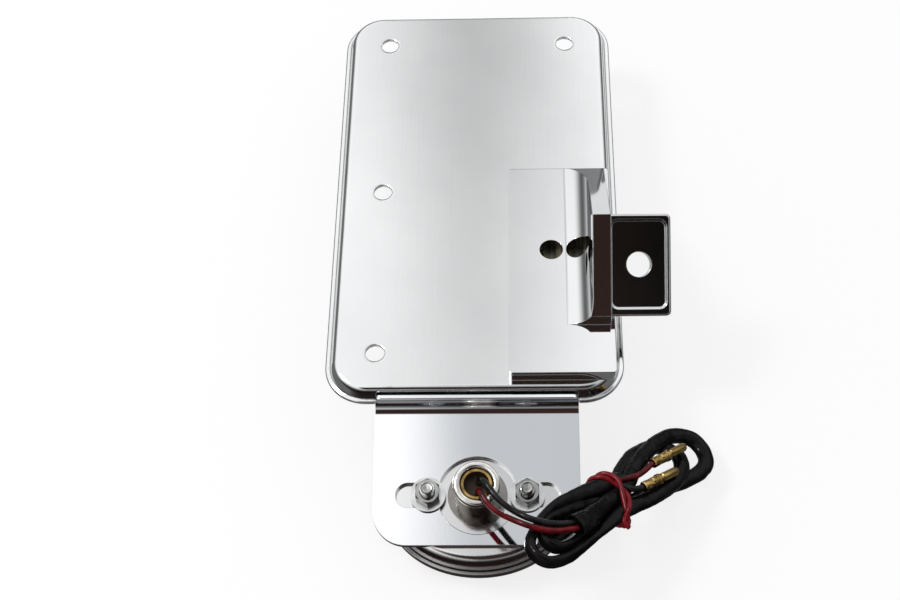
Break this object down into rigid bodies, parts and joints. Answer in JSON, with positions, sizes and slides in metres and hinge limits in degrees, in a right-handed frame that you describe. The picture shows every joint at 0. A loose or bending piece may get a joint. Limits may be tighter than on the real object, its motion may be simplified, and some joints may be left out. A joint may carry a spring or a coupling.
{
  "type": "side mount license plate holder",
  "caption": "Chrome side mount license plate holder for a motorbike: pressed pan, welded bracket with a bolt flange, small lamp on its own bracket and its lead tied in a hank.",
  "frame": {"origin": "centre of the side bracket's flange hole, halfway through the flange", "axes": "+X across the pan towards the flange, +Y along the pan away from the lamp, +Z out of the pan's back, square to the plate"},
  "size_m": [0.1365, 0.2485, 0.0672],
  "materials": {
    "chrome_pressed": "polished chrome plate",
    "chrome_cast": "polished chrome plate",
    "black_rubber": "matte",
    "red_lens": "clear red moulding",
    "zinc": "zinc plated",
    "zinc_tube": "zinc plated",
    "brass": "bare brass",
    "brown_board": "phenolic board",
    "clear_glass": "clear",
    "black_sleeve": "soft black PVC",
    "black_wire": "PVC insulation",
    "red_wire": "PVC insulation"
  },
  "bodies": {
    "root": {"plate_pan": "chrome_pressed", "side_bracket": "chrome_cast", "lamp_bracket": "chrome_pressed", "lamp_housing": "chrome_pressed", "lamp_gasket": "black_rubber", "lamp_lens": "red_lens", "lens_screws": "zinc", "lamp_bezel": "chrome_pressed", "lamp_studs": "zinc", "stud_nuts": "zinc", "stud_washers": "zinc", "bulb_holder": "zinc_tube", "holder_eyelet": "brass", "holder_insulator": "brown_board", "contact_spring": "zinc", "contact_pad": "brass", "bulb_base": "brass", "bulb_glass": "clear_glass", "bulb_filament": "zinc", "wire_sleeve_hank": "black_sleeve", "lead_black": "black_wire", "lead_red": "red_wire", "tie_band": "red_wire", "tail_red": "red_wire", "tail_black": "black_wire", "plug_red": "brass", "plug_black": "brass"}
  },
  "joints": []
}
